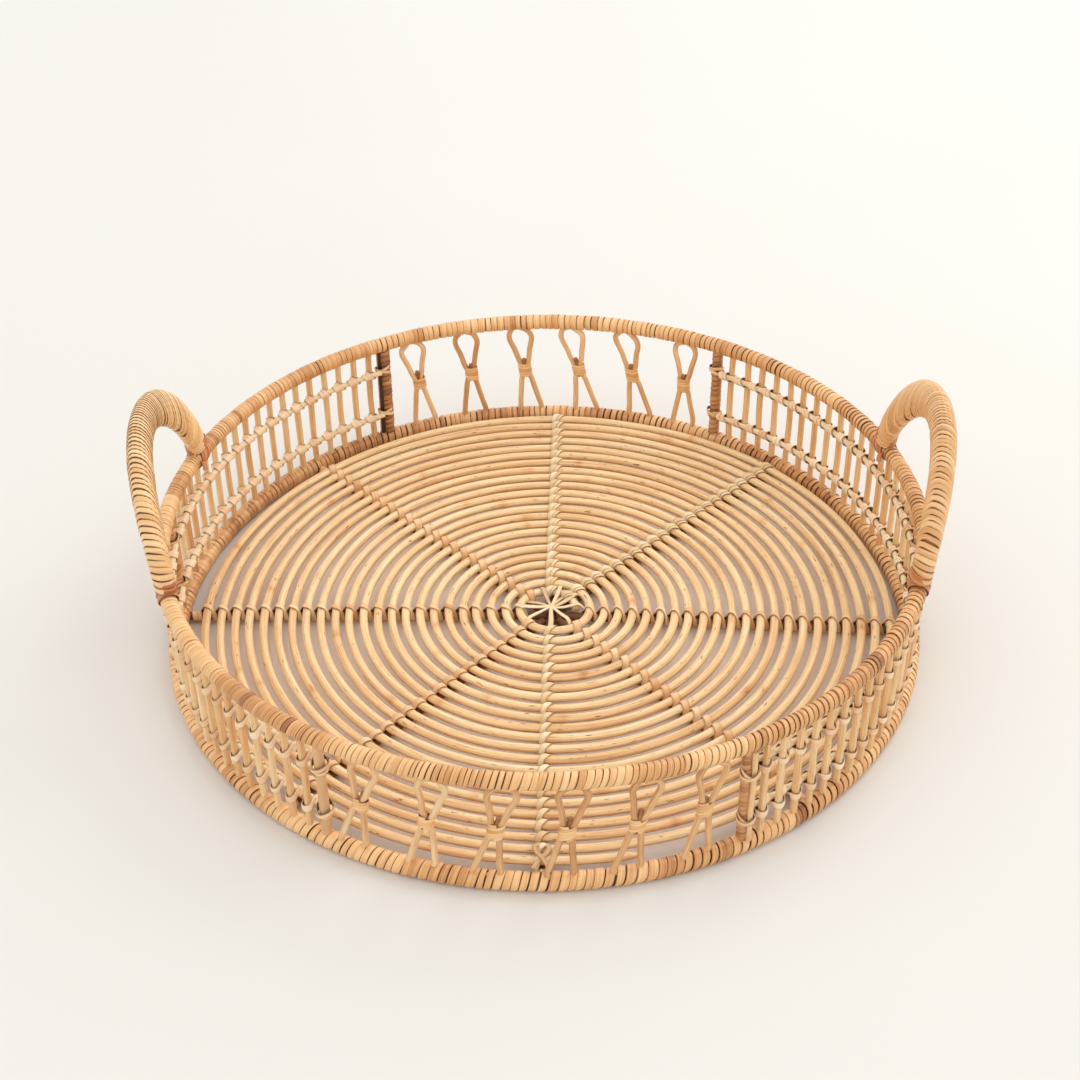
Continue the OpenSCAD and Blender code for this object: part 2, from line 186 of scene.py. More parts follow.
class Wire:
    # one socket, with the sums a shader needs
    def __init__(self, shade, socket):
        self.shade, self.socket = shade, socket

    def sum(self, kind, a, b=0.0, clamp=False):
        return self.shade.node("ShaderNodeMath", {"operation": kind, "use_clamp": clamp}, {0: a, 1: b})

    def __add__(self, other):
        return self.sum("ADD", self, other)

    def __radd__(self, other):
        return self.sum("ADD", other, self)

    def __sub__(self, other):
        return self.sum("SUBTRACT", self, other)

    def __rsub__(self, other):
        return self.sum("SUBTRACT", other, self)

    def __mul__(self, other):
        return self.sum("MULTIPLY", self, other)

    def __rmul__(self, other):
        return self.sum("MULTIPLY", other, self)

    def __abs__(self):
        return self.sum("ABSOLUTE", self)

    def clamp(self):
        return self.sum("ADD", self, 0, True)


class Shade:
    # one material, from its nodes
    def __init__(self, name):
        self.material = bpy.data.materials.new(name)
        self.material.use_nodes = True
        self.tree = self.material.node_tree
        self.surface = self.tree.nodes["Principled BSDF"]

    def node(self, kind, settings=None, sockets=None, out=0):
        made = self.tree.nodes.new(kind)
        for key, value in (settings or {}).items():
            if key == "stops":
                ramp = made.color_ramp
                while len(ramp.elements) < len(value):
                    ramp.elements.new(1)
                for element, (place, colour) in zip(ramp.elements, value):
                    element.position, element.color = place, colour
            else:
                setattr(made, key, value)
        for key, value in (sockets or {}).items():
            self.feed(made.inputs[key], value)
        return Wire(self, made.outputs[out])

    def feed(self, socket, value):
        if isinstance(value, Wire):
            self.tree.links.new(value.socket, socket)
        else:
            socket.default_value = value

    def mix(self, share, a, b):
        return self.node("ShaderNodeMix", {"data_type": "RGBA"}, {0: share, 6: a, 7: b}, 2)

    def smooth(self, value, low, high):
        return self.node("ShaderNodeMapRange", {"interpolation_type": "SMOOTHSTEP"},
                         {"Value": value, "From Min": low, "From Max": high})

    def noise(self, place, scale, detail=2.0, rough=0.5, seed=0.0):
        return self.node("ShaderNodeTexNoise", {"noise_dimensions": "4D"},
                         {"Vector": place, "W": seed, "Scale": scale, "Detail": detail, "Roughness": rough})

    def stretch(self, place, by):
        return self.node("ShaderNodeVectorMath", {"operation": "MULTIPLY"}, {0: place, 1: by})

    def parts(self, place):
        split = self.node("ShaderNodeSeparateXYZ", None, {0: place}).socket.node
        return [Wire(self, s) for s in split.outputs]

    def finish(self, colour, rough, height, depth, **fixed):
        bump = self.node("ShaderNodeBump", None, {"Strength": 1.0, "Distance": depth, "Height": height})
        self.feed(self.surface.inputs["Base Color"], colour)
        self.feed(self.surface.inputs["Roughness"], rough)
        self.feed(self.surface.inputs["Normal"], bump)
        for key, value in fixed.items():
            self.surface.inputs[key.replace("_", " ")].default_value = value
        return self.material


def dye(*colour):
    # a colour as the eye reads it, 0 to 255, made linear
    shares = [c / 255 for c in colour]
    return tuple(c / 12.92 if c < 0.0407 else ((c + 0.055) / 1.055) ** 2.4 for c in shares) + (1.0,)


def strandPlace(shade):
    place = shade.node("ShaderNodeAttribute", {"attribute_name": "grain"}, None, 1)
    tone = shade.node("ShaderNodeAttribute", {"attribute_name": "tone"}, None, 2)
    return place, tone


def caneFinish(name, look):
    # whole cane: long soft streaks, fine fibres, small dark flecks, and where asked painted shade on its
    # underside
    shade = Shade(name)
    place, tone = strandPlace(shade)
    cloud = shade.noise(shade.stretch(place, (22, 0.9, 0.9)), 1.0, 3.0, 0.55)
    streak = shade.noise(shade.stretch(place, (20, 2.8, 2.8)), 1.0, 4.0, 0.65, 3.0)
    fibre = shade.noise(shade.stretch(place, (60, 9, 9)), 1.0, 3.0, 0.6, 7.0)
    fleck = shade.smooth(shade.noise(shade.stretch(place, (170, 2.6, 2.6)), 1.0, 1.0, 0.5, 11.0), 0.67, 0.73)
    level = (tone + (cloud - 0.5) * look["cloud"] + (streak - 0.5) * look["streak"]).clamp()
    colour = shade.node("ShaderNodeValToRGB", {"stops": look["stops"]}, {0: level})
    colour = shade.mix(shade.smooth(fibre, 0.5, 0.68) * look["fibre"], colour, look["fibreAndShadeDye"])
    colour = shade.mix(fleck * look["fleck"], colour, look["fleckDye"])
    if "under" in look:
        # painted shade: the underside of the cane is darkened towards the fibre colour
        paintedUnderShade = shade.smooth(0 - shade.parts(place)[2], -0.35, 0.7)
        colour = shade.mix(paintedUnderShade * look["under"], colour, look["fibreAndShadeDye"])
    rough = look["rough"] + (fibre - 0.5) * 0.25
    height = fibre * 0.6 + streak * 0.8
    return shade.finish(colour, rough, height, look["depth"], Coat_Weight=look["coat"], Coat_Roughness=0.3)


def peelFinish(name, look):
    # split skin: painted shade darkens it along its edges, where the turns meet, so the middle reads brighter
    shade = Shade(name)
    place, tone = strandPlace(shade)
    x, y, z = shade.parts(place)
    cloud = shade.noise(shade.stretch(place, (60, 0.8, 0.8)), 1.0, 3.0, 0.55)
    fibre = shade.noise(shade.stretch(place, (30, 2.8, 1.5)), 1.0, 4.0, 0.68, 5.0)
    level = (tone + (cloud - 0.5) * look["cloud"] + (fibre - 0.5) * look["streak"]).clamp()
    colour = shade.node("ShaderNodeValToRGB", {"stops": look["stops"]}, {0: level})
    # painted shade along the strip's edges, in the creases between turns
    edge = shade.smooth(abs(y) + (cloud - 0.5) * 0.8, look["edgeFrom"], 1.04)
    colour = shade.mix(edge * look["edge"], colour, look["edgeShadeDye"])
    # painted shade on the flat underside that lies against the core, in the same dark colour
    pith = shade.smooth(0 - z, 0.2, 0.6)
    colour = shade.mix(pith, colour, look["edgeShadeDye"])
    rough = look["rough"] + (fibre - 0.5) * 0.3 + edge * 0.25
    height = fibre * 0.7 + (1 - edge) * 0.8
    return shade.finish(colour, rough, height, look["depth"], Coat_Weight=look["coat"], Coat_Roughness=0.25)


def coreFinish(name, pale, dark, rough):
    # cane that is kept from the frame and has no strand data
    shade = Shade(name)
    place = shade.node("ShaderNodeTexCoord", None, None, 3)
    fibre = shade.noise(shade.stretch(place, (400, 400, 90)), 1.0, 3.0, 0.6)
    cloud = shade.noise(place, 60, 3.0, 0.6, 4.0)
    level = (fibre * 0.6 + cloud * 0.7 - 0.15).clamp()
    colour = shade.mix(level, dark, pale)
    return shade.finish(colour, rough + (fibre - 0.5) * 0.3, fibre + cloud, 0.0003)


# the tones of each peel, from its darkest strand to its palest
goldStops = [(0.0, dye(158, 96, 46)), (0.3, dye(214, 154, 94)), (0.6, dye(240, 192, 134)),
             (1.0, dye(252, 221, 170))]
brownStops = [(0.0, dye(104, 58, 26)), (0.35, dye(180, 120, 72)), (0.7, dye(222, 168, 114)),
              (1.0, dye(246, 208, 158))]
paleStops = [(0.0, dye(196, 150, 100)), (0.4, dye(229, 193, 143)), (0.75, dye(243, 218, 176)),
             (1.0, dye(250, 234, 202))]

finishes = {
    "coil": caneFinish("coil_cane", {
        "stops": [(0.0, dye(172, 108, 56)), (0.3, dye(222, 164, 108)), (0.6, dye(245, 204, 148)),
                  (1.0, dye(254, 231, 184))],
        # under: strength of the painted shade on the coil cane's underside
        "under": 0.75, "cloud": 0.7, "streak": 1.5, "fibre": 0.5, "fibreAndShadeDye": dye(196, 132, 76),
        "fleck": 0.75, "fleckDye": dye(120, 64, 28), "rough": 0.42, "depth": 0.0004, "coat": 0.2}),
    "stake": caneFinish("stake_cane", {
        "stops": [(0.0, dye(180, 122, 72)), (0.35, dye(228, 176, 118)), (0.7, dye(244, 206, 152)),
                  (1.0, dye(252, 228, 188))],
        "cloud": 0.6, "streak": 1.3, "fibre": 0.45, "fibreAndShadeDye": dye(190, 132, 78), "fleck": 0.5,
        "fleckDye": dye(120, 70, 34), "rough": 0.48, "depth": 0.0004, "coat": 0.1}),
    "fret": caneFinish("fret_cane", {
        "stops": [(0.0, dye(154, 98, 54)), (0.35, dye(218, 164, 110)), (0.7, dye(242, 202, 150)),
                  (1.0, dye(251, 226, 184))],
        "cloud": 0.7, "streak": 1.2, "fibre": 0.45, "fibreAndShadeDye": dye(176, 118, 68), "fleck": 0.3,
        "fleckDye": dye(110, 62, 30), "rough": 0.5, "depth": 0.0004, "coat": 0.08}),
    "paleRod": caneFinish("pale_rod", {
        "stops": [(0.0, dye(205, 168, 112)), (0.4, dye(236, 208, 156)), (1.0, dye(252, 238, 204))],
        "cloud": 0.4, "streak": 0.4, "fibre": 0.25, "fibreAndShadeDye": dye(200, 158, 100), "fleck": 0.2,
        "fleckDye": dye(150, 110, 62), "rough": 0.55, "depth": 0.0003, "coat": 0.04}),
    # edge and edgeFrom: strength and start of the painted shade along each peel strip's edges; its colour
    # also paints the flat underside
    "rimPeel": peelFinish("rim_peel", {
        "stops": goldStops, "cloud": 0.5, "streak": 1.1, "edge": 0.6, "edgeFrom": 0.84,
        "edgeShadeDye": dye(140, 84, 40), "rough": 0.38, "depth": 0.0003, "coat": 0.25}),
    "footPeel": peelFinish("lower_hoop_peel", {
        "stops": goldStops, "cloud": 0.5, "streak": 1.1, "edge": 0.7, "edgeFrom": 0.84,
        "edgeShadeDye": dye(116, 64, 28), "rough": 0.36, "depth": 0.0003, "coat": 0.25}),
    "handlePeel": peelFinish("handle_peel", {
        "stops": goldStops, "cloud": 0.45, "streak": 1.0, "edge": 0.85, "edgeFrom": 0.66,
        "edgeShadeDye": dye(122, 70, 32), "rough": 0.36, "depth": 0.0004, "coat": 0.28}),
    "spokePeel": peelFinish("spoke_peel", {
        "stops": [(0.0, dye(182, 120, 70)), (0.4, dye(230, 178, 124)), (1.0, dye(251, 222, 178))],
        "cloud": 0.5, "streak": 1.0, "edge": 0.55, "edgeFrom": 0.8,
        "edgeShadeDye": dye(140, 86, 44), "rough": 0.46, "depth": 0.0003, "coat": 0.1}),
    "palePeel": peelFinish("pale_peel", {
        "stops": paleStops, "cloud": 0.5, "streak": 1.0, "edge": 0.6, "edgeFrom": 0.78,
        "edgeShadeDye": dye(146, 96, 54), "rough": 0.5, "depth": 0.0003, "coat": 0.06}),
    "hubPeel": peelFinish("hub_peel", {
        "stops": [(0.0, dye(180, 132, 84)), (0.4, dye(224, 186, 138)), (1.0, dye(247, 226, 188))],
        "cloud": 0.5, "streak": 1.0, "edge": 0.6, "edgeFrom": 0.76,
        "edgeShadeDye": dye(136, 98, 56), "rough": 0.5, "depth": 0.0003, "coat": 0.06}),
    "latticePeel": peelFinish("lattice_peel", {
        "stops": [(0.0, dye(196, 144, 98)), (0.4, dye(234, 192, 148)), (1.0, dye(250, 226, 192))],
        "cloud": 0.4, "streak": 0.8, "edge": 0.6, "edgeFrom": 0.8,
        "edgeShadeDye": dye(120, 74, 38), "rough": 0.45, "depth": 0.0002, "coat": 0.1}),
    "fretPeel": peelFinish("fret_peel", {
        "stops": goldStops, "cloud": 0.4, "streak": 0.4, "edge": 0.6, "edgeFrom": 0.78,
        "edgeShadeDye": dye(126, 72, 34), "rough": 0.42, "depth": 0.0002, "coat": 0.15}),
    "footTie": peelFinish("foot_tie", {
        "stops": [(0.0, dye(136, 66, 34)), (0.4, dye(196, 120, 70)), (1.0, dye(232, 168, 112))],
        "cloud": 0.5, "streak": 0.8, "edge": 0.75, "edgeFrom": 0.7,
        "edgeShadeDye": dye(96, 42, 20), "rough": 0.42, "depth": 0.0002, "coat": 0.15}),
    "postPeel": peelFinish("post_peel", {
        "stops": brownStops, "cloud": 0.7, "streak": 0.6, "edge": 0.6, "edgeFrom": 0.78,
        "edgeShadeDye": dye(62, 30, 12), "rough": 0.4, "depth": 0.0004, "coat": 0.2}),
    "hoopCore": coreFinish("hoop_core", dye(112, 66, 32), dye(52, 28, 12), 0.6),
    "spokeRod": coreFinish("spoke_rod", dye(150, 96, 52), dye(84, 46, 20), 0.55),
    "handleCore": coreFinish("handle_core", dye(206, 150, 92), dye(136, 84, 42), 0.6),
    "postCore": coreFinish("post_core", dye(236, 194, 144), dye(186, 138, 88), 0.55),
}
print("finishes made,", len(finishes))


def windHoop(name, node, slot, finish, hoopR, hoopZ, tubeR, look):
    # one long peel wound round and round a hoop
    rng = np.random.default_rng(look["seed"])
    girth = 2 * math.pi * hoopR
    turns = round(girth / look["pitch"])
    at = np.arange(turns) / turns
    degrees, scale = np.array(look["stretches"]).T
    widths = np.interp(at * 360, degrees, scale, period=360)
    widths *= 1 + look["drift"] * wander(rng, at, 6, 1 / 9, 1 / 50) + look["uneven"] * rng.normal(size=turns)
    widths = np.clip(widths, 0.5, 1.7)
    widths *= girth / widths.sum()
    edges = np.concatenate([[0], np.cumsum(widths)])
    perTurn = look["steps"]
    turn = np.arange(turns * perTurn) / perTurn
    along = np.interp(turn, np.arange(turns + 1), edges)
    middle = np.arange(-1, turns + 1) + 0.5
    # most turns touch; here and there one is narrow and leaves a dark gap
    cover = look["fill"] - look["gap"] * (rng.random(turns) < look["gaps"])
    wide = np.interp(turn, middle, np.concatenate([widths[-1:], widths, widths[:1]]))
    wide = wide * np.interp(turn, np.arange(turns) + 0.5, cover)
    tones = np.repeat(rng.random(turns // 9 + 1), 9)[:turns] * 0.35 + rng.random(turns) * look["toneSpread"]
    tones += look["tone"] - 0.175 - look["toneSpread"] / 2
    tones -= look["brown"] * np.maximum(0, np.cos(2 * math.pi * at - math.radians(look["brownAt"]))) ** 8
    tones -= 0.22 * (rng.random(turns) < 0.03)
    around = 2 * math.pi * turn - math.pi / 2
    lean = look["lean"] * (1 + 0.5 * wander(rng, at, 5, 0.2, 0.02))
    lean = np.interp(turn, np.arange(turns) + 0.5, lean)
    spot = (along + lean * np.sin(around)) / hoopR
    lift = np.interp(turn, np.arange(turns) + 0.5, rng.random(turns)) * look["lift"]
    r = tubeR - look["thick"] + lift
    outDir = np.stack([np.cos(spot), np.sin(spot), 0 * spot], 1)
    hoopDir = np.stack([-np.sin(spot), np.cos(spot), 0 * spot], 1)
    away = outDir * np.cos(around)[:, None]
    away[:, 2] = np.sin(around)
    path = outDir * hoopR + away * r[:, None]
    path[:, 2] += hoopZ
    roll = look["roll"] + 0.5 * look["roll"] * wander(rng, along, 4, girth / 8, girth / 90)
    bundle = Bundle(name)
    tone = tones[np.minimum(turn.astype(int), turns - 1)]
    bundle.strand(path, away + hoopDir * roll[:, None], peelSection, wide / 2, look["thick"], tone,
                  closed=True, floor=0.0)
    print(name, turns, "turns")
    return bundle.build(finishes[finish], node, slot)


# drift and uneven: how much the turns' widths change slowly and from turn to turn
# gaps: share of the turns that leave a gap; stretches: (degrees, scale of the pitch) round the hoop
# brown: how much darker the peel gets at brownAt degrees
rimLook = {"seed": 11, "pitch": 2.95 * mm, "drift": 0.14, "uneven": 0.12, "steps": 14, "lean": 0.7 * mm,
           "fill": 1.0, "gap": 0.18, "gaps": 0.26, "thick": 0.55 * mm, "lift": 0.32 * mm, "roll": 0.1,
           "tone": 0.4, "toneSpread": 0.16, "brown": 0.06, "brownAt": 150,
           "stretches": [(0, 1), (60, 1.1), (90, 1.25), (120, 0.95), (145, 0.7), (180, 0.78), (225, 0.85),
                         (270, 1.05), (300, 1.05), (340, 1.1)]}
footLook = {"seed": 12, "pitch": 3.9 * mm, "drift": 0.1, "uneven": 0.1, "steps": 14, "lean": 0.6 * mm,
            "fill": 0.99, "gap": 0.18, "gaps": 0.34, "thick": 0.62 * mm, "lift": 0.34 * mm, "roll": 0.08,
            "tone": 0.42, "toneSpread": 0.18, "brown": 0.26, "brownAt": 138,
            "stretches": [(0, 1), (90, 0.95), (150, 0.9), (230, 1), (270, 1.12), (320, 1)]}
windHoop("rim_peel", "rim_hoop_wrap", "rim_peel", "rimPeel", rimR, rimZ, rimWrap, rimLook)
windHoop("lower_hoop_peel", "lower_hoop_wrap", "lower_hoop_peel", "footPeel", footR, footZ, footWrap,
         footLook)

# the spiral's driving sizes, then how far the cane strays from it
coilLook = {"seed": 21, "pitch": 7.6 * mm, "startMin": 11.7 * mm, "endAngle": 280, "tail": 9 * mm,
            "edgeGap": 1.2 * mm, "step": 3.6 * mm, "sway": 0.5 * mm, "swayMost": 1 * mm, "bob": 0.12 * mm,
            "swell": 0.045, "firstLeaf": 0.1, "leafEvery": 0.16, "leafStray": 0.2, "leafLong": 2.6 * mm}
coilShift = coilLook["pitch"] / 4
coilEnd = math.radians(coilLook["endAngle"])
coilReach = max((hubX + coilShift) * max(0, math.cos(coilEnd)), hubX + coilShift - coilLook["pitch"],
                hubX - 3 * coilShift)
coilLast = footR - footWrap - coilLook["edgeGap"] - coilR - coilReach
coilRoom = coilLast - coilLook["pitch"] / 2 - coilLook["startMin"]
coilTurns = math.floor(coilRoom / coilLook["pitch"])
coilFirst = coilLast - coilLook["pitch"] / 2 - coilTurns * coilLook["pitch"]


def layCoil():
    # half turns about two centres a half pitch apart, then the thinned tail
    rng = np.random.default_rng(coilLook["seed"])
    rows = []
    for turn in range(coilTurns + 1):
        for half in (0, 1):
            radius = coilFirst + (turn + half / 2) * coilLook["pitch"]
            begin = half * math.pi
            end = coilEnd if half and turn == coilTurns else begin + math.pi
            steps = max(8, round(radius * (end - begin) / coilLook["step"]))
            angle = np.linspace(begin, end, steps, endpoint=False)
            centre = hubX - coilShift if half == 0 else hubX + coilShift
            rows.append(np.stack([centre + radius * np.cos(angle), radius * np.sin(angle),
                                  np.cos(angle), np.sin(angle)], 1))
    lane = np.vstack(rows)
    last = lane[-1]
    tail = np.linspace(0, coilLook["tail"], 5)[1:]
    ahead = np.array([-last[3], last[2]])
    tailRows = np.hstack([last[None, :2] + ahead[None] * tail[:, None], np.repeat(last[None, 2:], 4, 0)])
    lane = np.vstack([lane, tailRows])
    length = np.concatenate([[0], np.cumsum(np.linalg.norm(np.diff(lane[:, :2], axis=0), axis=1))])
    ease = np.clip(length / (30 * mm), 0, 1) * np.clip((length[-1] - length) / (20 * mm), 0, 1)
    sway = coilLook["sway"] * wander(rng, length, 7, 1.1, 0.06)
    sway = np.clip(sway, -coilLook["swayMost"], coilLook["swayMost"]) * ease
    height = coilZ + coilLook["bob"] * wander(rng, length, 4, 0.4, 0.09) * ease
    path = np.column_stack([lane[:, :2] + lane[:, 2:] * sway[:, None], height])
    thick = coilR * (1 + coilLook["swell"] * wander(rng, length, 5, 1.3, 0.2) - 0.02)
    tone = 0.66 + 0.14 * wander(rng, length, 6, 2.2, 0.05)
    joint = coilLook["firstLeaf"]
    while joint < length[-1]:
        # where a leaf grew, the cane is a little thicker and darker
        near = np.exp(-((length - joint) / coilLook["leafLong"]) ** 2)
        thick += coilR * 0.07 * near
        tone -= 0.3 * near
        joint += coilLook["leafEvery"] + coilLook["leafStray"] * rng.random()
    thick[-4:] *= [0.9, 0.78, 0.64, 0.5]
    bundle = Bundle("base_coil_cane")
    bundle.strand(path, (0, 0, 1), caneSection, thick, thick, tone)
    bundle.build(finishes["coil"], "base_coil", "base_cane", 70)
    print("coil laid,", round(float(length[-1]), 2), "m")
    return lane[:, :2], sway


coilLane, coilSway = layCoil()


def spokeAngle(i):
    return math.radians((360 + 45 * i + spokeStray[i]) % 360)


def crossings(angle):
    # distances from the hub to each turn that a spoke carries
    first = 1 if angle < math.asin(3.6 * mm / coilFirst) else 0
    last = coilTurns if angle < coilEnd - math.radians(3) else coilTurns - 1
    lower = angle > math.pi
    shift = coilShift if lower else -coilShift
    places = []
    for turn in range(first, last + 1):
        radius = coilFirst + (turn + (0.5 if lower else 0)) * coilLook["pitch"]
        s = shift * math.cos(angle) + math.sqrt(radius ** 2 - (shift * math.sin(angle)) ** 2)
        spot = np.array([hubX + s * math.cos(angle), s * math.sin(angle)])
        places.append(s + coilSway[np.argmin(np.linalg.norm(coilLane - spot, axis=1))])
    return places


# width over a turn, and how far aside the peel is before, on and after the turn's top, in mm
spokeLook = {"e": {"wide": 2.7, "aside": (1.5, 1.35, 0.9, -0.3, -1.9), "strands": 1, "tone": 0.6},
             "ne": {"wide": 3.2, "aside": (1.9, 1.3, 0.2, -1.0, -1.9), "strands": 2, "tone": 0.6},
             "n": {"wide": 3.0, "aside": (2.0, 1.3, 0, -1.3, -2.0), "strands": 2, "tone": 0.62},
             "nw": {"wide": 4.0, "aside": (1.3, 0.8, 0.1, -0.5, -1.2), "strands": 1, "tone": 0.55},
             "w": {"wide": 2.8, "aside": (1.5, 1.3, 0.8, -0.4, -1.9), "strands": 1, "tone": 0.6},
             "sw": {"wide": 3.6, "aside": (1.4, 1.1, 0.5, -0.3, -1.3), "strands": 1, "tone": 0.62},
             "s": {"wide": 3.3, "aside": (2.1, 1.4, 0.1, -1.3, -2.1), "strands": 1, "tone": 0.6},
             "se": {"wide": 4.0, "aside": (1.1, 0.7, 0.1, -0.5, -1.1), "strands": 1, "tone": 0.55}}
paleWinds = ("ne", "n", "s")
spokePeelThick = 0.42 * mm


def turnedBy(angle, v):
    v = np.array(v, float)
    return np.stack([v[:, 0] * math.cos(angle) - v[:, 1] * math.sin(angle),
                     v[:, 0] * math.sin(angle) + v[:, 1] * math.cos(angle), v[:, 2]], 1)


def lashSpoke(i):
    # a peel that climbs over each turn of the coil and dives under the rod between turns
    look = spokeLook[winds[i]]
    rng = np.random.default_rng(31 + i)
    bundle = Bundle("spoke_lashing_" + winds[i])
    t = spokePeelThick
    angle = spokeAngle(i)
    places = crossings(angle)
    hoop = math.sqrt(footR ** 2 - (hubX * math.sin(angle)) ** 2) - hubX * math.cos(angle)
    hoop -= footWrap + coilLook["edgeGap"]
    before, rising, top, falling, after = np.array(look["aside"]) * mm
    low = rodZ - rodR - t * 0.9
    for strand in range(look["strands"]):
        aside = (strand - (look["strands"] - 1) / 2) * 1.7 * mm
        points, outs, tones = [], [], []
        lift = t * 0.8 * strand
        edge = rodR + t + lift
        for k, s in enumerate(places):
            b = coilR + t + lift
            near = (s - places[k - 1]) / 2 if k else coilLook["pitch"] / 2
            far = (places[k + 1] - s) / 2 if k < len(places) - 1 else coilLook["pitch"] / 2
            y = aside + rng.normal() * 0.25 * mm
            points += [(s - near, 0, low), (s - near * 0.92, edge, rodZ), (s - b, before + y * 0.4, coilZ),
                       (s - b * 0.55, rising + y, coilZ + b * 0.86), (s, top + y, coilZ + b * 1.03),
                       (s + b * 0.55, falling + y, coilZ + b * 0.86), (s + b, after + y * 0.4, coilZ),
                       (s + far * 0.92, -edge, rodZ)]
            outs += [(0, 0, -1), (0, 1, 0), (-1, 0.3, 0.1), (-0.55, 0.1, 0.85), (0, 0, 1), (0.55, -0.1, 0.85),
                     (1, -0.3, 0.1), (0, -1, 0)]
            tones += [look["tone"] + rng.normal() * 0.14] * 8
        s = places[-1] + coilLook["pitch"] / 2
        while s < hoop and strand == 0:
            # the bare rod beyond the last turn is covered too
            points += [(s, 0, low), (s + 0.6 * mm, edge, rodZ), (s + 1.2 * mm, 0, rodZ + rodR + t),
                       (s + 1.8 * mm, -edge, rodZ)]
            outs += [(0, 0, -1), (0, 1, 0), (0, 0, 1), (0, -1, 0)]
            tones += [look["tone"] + rng.normal() * 0.1] * 4
            s += 2.6 * mm
        path = curveThrough(points, 3)
        outs = unit(curveThrough(outs, 3))
        tone = np.append(np.repeat(tones, 3)[:len(path) - 1], tones[-1])
        path = turnedBy(angle, path) + np.array([hubX, 0, 0])
        half = look["wide"] * mm / 2 * (1 + 0.1 * wander(rng, np.arange(len(path)), 4, 90, 9))
        bundle.strand(path, turnedBy(angle, outs), peelSection, half, t, tone, start=rng.random())
    if winds[i] == "s":
        # the two ends of this peel are left crossed over the last turn
        s, z = places[-1], coilZ + coilR + 0.7 * mm
        for lean, rise in ((1, 0), (-1, 0.6 * mm)):
            route = [(s - 8 * mm, lean * 0.8 * mm, z - 0.4 * mm), (s - 6 * mm, lean * 3.2 * mm, z + rise),
                     (s - 2.5 * mm, lean * 2.6 * mm, z + rise), (s + 1.5 * mm, -lean * 0.2 * mm, z + rise),
                     (s + 5 * mm, -lean * 2.4 * mm, z + rise / 2), (s + 8 * mm, -lean * 3.8 * mm, z)]
            path = turnedBy(angle, curveThrough(route, 5)) + np.array([hubX, 0, 0])
            bundle.strand(path, (0, 0, 1), peelSection, 1.2 * mm, t, 0.08, start=rng.random())
    return bundle


for i, wind in enumerate(winds):
    finish = "palePeel" if wind in paleWinds else "spokePeel"
    lashSpoke(i).build(finishes[finish], "spoke_binding_" + wind, "spoke_peel")
print("spokes lashed")


# each arm: direction in degrees, reach and width in mm
hubLook = {"seed": 41, "thick": 0.45 * mm,
           "arms": [(2, 19, 2.4), (38, 20, 2.9), (50, 18.5, 1.9), (74, 17.5, 2.5), (108, 17, 2.2),
                    (152, 17.5, 2.2), (186, 18, 2.8), (226, 17.5, 2.2), (262, 18, 2.8), (306, 18, 2.2)]}


def tieHub():
    # arms that come up inside the first turn or over it, all meeting in a small knot
    rng = np.random.default_rng(hubLook["seed"])
    bundle = Bundle("hub_star")
    base = coilZ - coilR
    for k, (degrees, reach, wide) in enumerate(hubLook["arms"]):
        angle = math.radians(degrees)
        reach *= mm
        ring = coilFirst + rng.normal() * 0.6 * mm
        knot = coilZ + 0.6 * mm + 0.16 * mm * k
        sag = rng.normal() * 0.3 * mm
        ys = rng.normal() * 0.9 * mm
        over = k % 3 != 2
        crest = coilZ + coilR + 0.45 * mm if over else coilZ - 0.8 * mm
        points = [(-2.2 * mm, -ys * 0.5, knot - 0.9 * mm), (0, 0, knot), (ring * 0.4, ys * 0.5, knot + sag),
                  (ring * 0.75, ys, (knot + crest) / 2 + sag), (ring, ys, crest),
                  (ring + coilR + 0.4 * mm, ys, coilZ), (reach, ys, base)]
        outs = [(0, 0, 1), (0, 0, 1), (0, 0, 1), (-0.2, 0, 1), (0, 0, 1), (1, 0, 0.4), (1, 0, 0.3)]
        path = turnedBy(angle, curveThrough(points, 5)) + np.array([hubX, 0, 0])
        taper = np.interp(np.linspace(0, 1, len(path)), [0, 0.2, 0.45, 1], [0.55, 0.7, 1, 1])
        bundle.strand(path, turnedBy(angle, unit(curveThrough(outs, 5))), peelSection, wide * mm / 2 * taper,
                      hubLook["thick"], 0.3 + 0.55 * rng.random(), start=rng.random())
    bundle.build(finishes["hubPeel"], "hub_lashing", "hub_peel")
    print("hub tied")


tieHub()


def wallPoint(angle, up, out):
    # a point on the slanted wall: up from the lower hoop's centre, and out from the tray
    r = footR + up * math.sin(wallLean) + out * math.cos(wallLean)
    z = footZ + up * math.cos(wallLean) - out * math.sin(wallLean)
    return np.array([r * math.cos(angle), r * math.sin(angle), z])


def wallPath(angle, rows):
    # rows of (out, aside, up) on the wall, where aside runs along the hoop
    rows = np.asarray(rows, float)
    r = footR + rows[:, 2] * math.sin(wallLean) + rows[:, 0] * math.cos(wallLean)
    z = footZ + rows[:, 2] * math.cos(wallLean) - rows[:, 0] * math.sin(wallLean)
    c, s = math.cos(angle), math.sin(angle)
    return np.stack([r * c - rows[:, 1] * s, r * s + rows[:, 1] * c, z], 1)


def wallDirs(angle, rows):
    rows = np.asarray(rows, float)
    c, s = math.cos(angle), math.sin(angle)
    return np.stack([rows[:, 0] * c - rows[:, 1] * s, rows[:, 0] * s + rows[:, 1] * c, rows[:, 2]], 1)


stakeLook = {"r": 1.85 * mm, "pitch": 10.4 * mm, "inHoop": 1.2 * mm, "inRim": 1.0 * mm}
latticeLook = {"rodR": 1.5 * mm, "lowUp": 14 * mm, "highDown": 12.5 * mm, "strapThick": 0.42 * mm,
               "strapWide": 2.9 * mm, "endGap": 4.2 * mm}
panelAngle = math.radians(60)
stakeGaps = round(footR * panelAngle / stakeLook["pitch"])
stakeStep = panelAngle / stakeGaps
rodInset = stakeLook["r"] + latticeLook["rodR"]
rodUps = [footWrap + latticeLook["lowUp"], wallLength - rimWrap - latticeLook["highDown"]]


